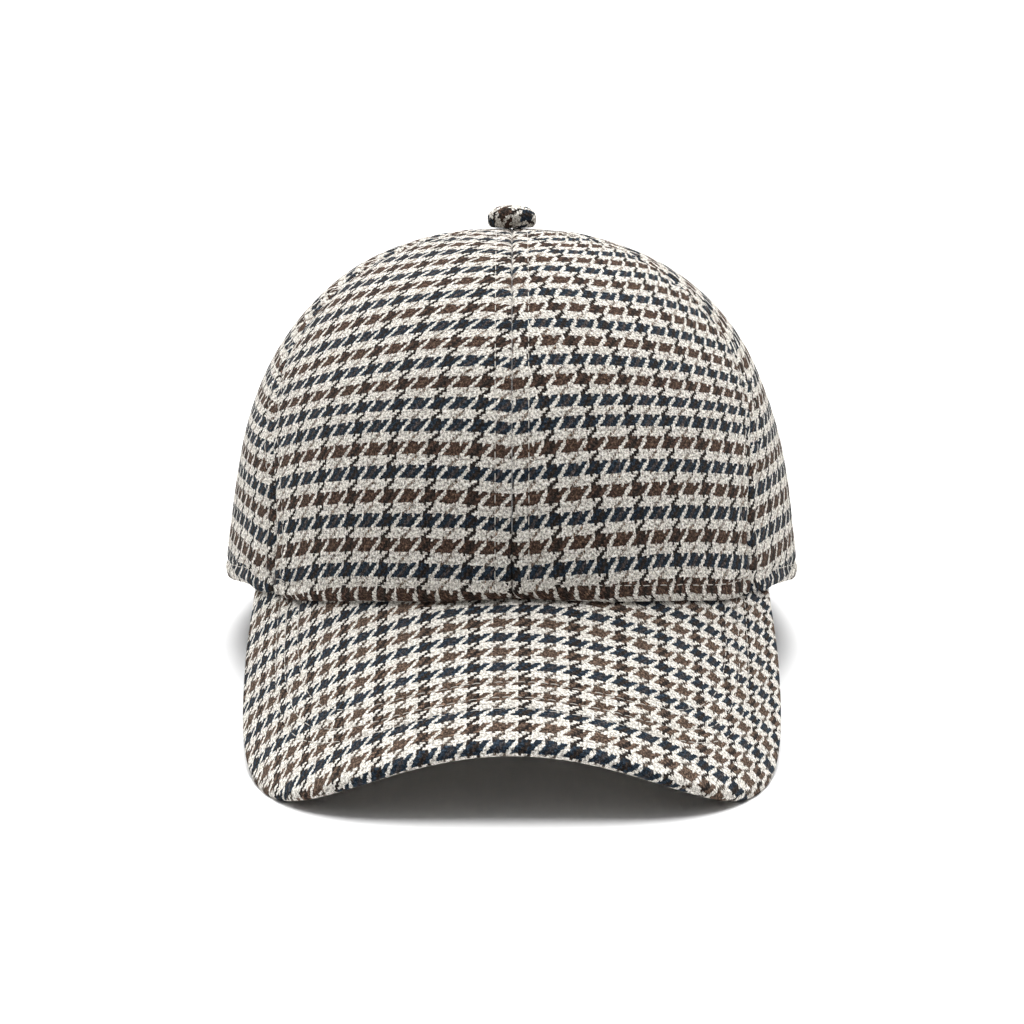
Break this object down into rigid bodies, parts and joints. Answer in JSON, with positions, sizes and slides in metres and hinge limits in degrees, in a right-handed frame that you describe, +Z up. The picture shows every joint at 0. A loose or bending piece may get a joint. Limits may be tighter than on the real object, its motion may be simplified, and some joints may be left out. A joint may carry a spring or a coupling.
{
  "type": "houndstooth baseball cap",
  "caption": "Soft cap in checked wool cloth with a domed crown of sewn panels, a closed back, a stiff bent peak in front and a cloth-covered button on top.",
  "frame": {"origin": "centre of the cap's bounding box in plan, on the floor that the cap stands on", "axes": "+Z up, -Y towards the peak's front edge, +X towards the right as seen from in front of the peak"},
  "size_m": [0.1746, 0.2654, 0.1289],
  "materials": {
    "checked_wool": "hairy wool twill in a houndstooth check of cream with navy, dark brown and tan yarns"
  },
  "bodies": {
    "root": {"front_panel_left": "checked_wool", "front_panel_right": "checked_wool", "side_panel_left": "checked_wool", "side_panel_right": "checked_wool", "back_panel_left": "checked_wool", "back_panel_right": "checked_wool", "peak": "checked_wool", "button": "checked_wool"}
  },
  "joints": []
}
